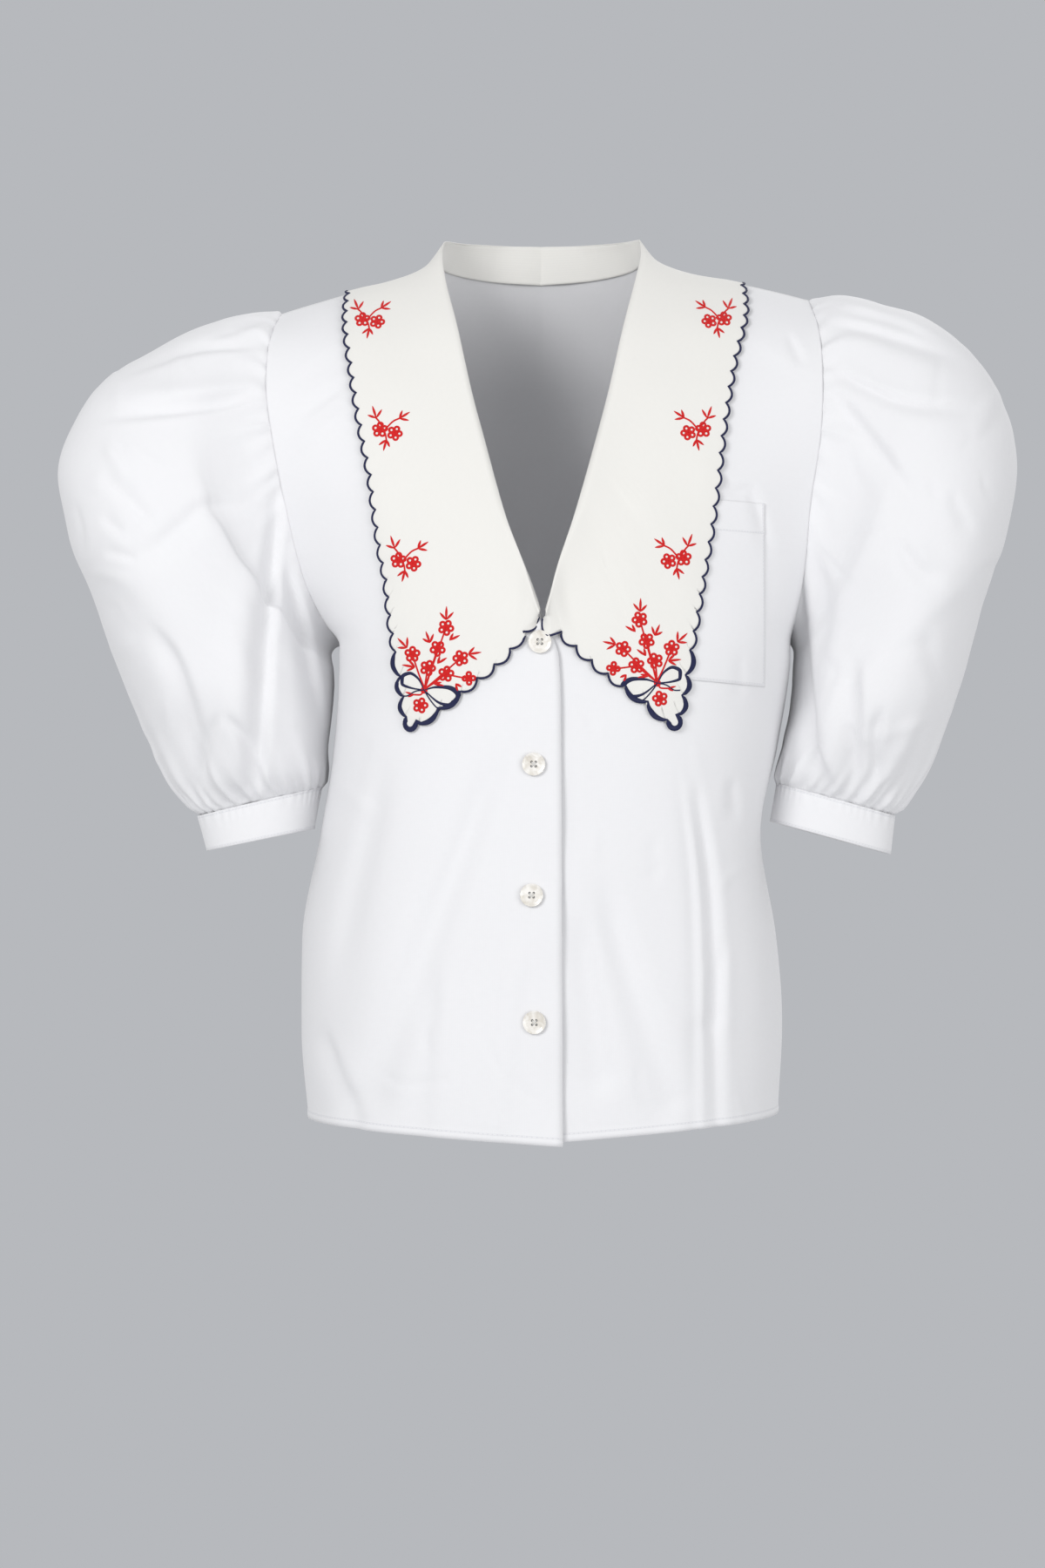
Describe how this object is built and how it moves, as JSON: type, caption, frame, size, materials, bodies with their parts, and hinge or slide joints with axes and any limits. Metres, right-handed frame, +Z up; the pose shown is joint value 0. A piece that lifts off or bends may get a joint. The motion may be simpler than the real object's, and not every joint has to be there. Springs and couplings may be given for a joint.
{
  "type": "cotton blouse",
  "caption": "White cotton blouse in its hollow worn form, with a very large pointed scalloped collar, button front and full puffed sleeves gathered into narrow cuffs.",
  "frame": {"origin": "middle of the neck opening at the height of the neck seam, where the wearer's neck and shoulders hold the garment", "axes": "+X towards the wearer's left sleeve, which is the right of the front view, +Z up, and the buttoned front faces -Y"},
  "size_m": [0.6592, 0.2535, 0.6197],
  "materials": {
    "cotton": "plain woven, matte",
    "collar_cotton": "plain woven, matte, off-white",
    "pearl": "pearly gloss"
  },
  "bodies": {
    "root": {"back": "cotton", "button_1": "pearl", "button_2": "pearl", "button_3": "pearl", "button_4": "pearl", "chest_pocket": "cotton", "collar": "collar_cotton", "cuff_left": "cotton", "cuff_right": "cotton", "front_left": "cotton", "front_right": "cotton", "sleeve_left": "cotton", "sleeve_right": "cotton"}
  },
  "joints": []
}
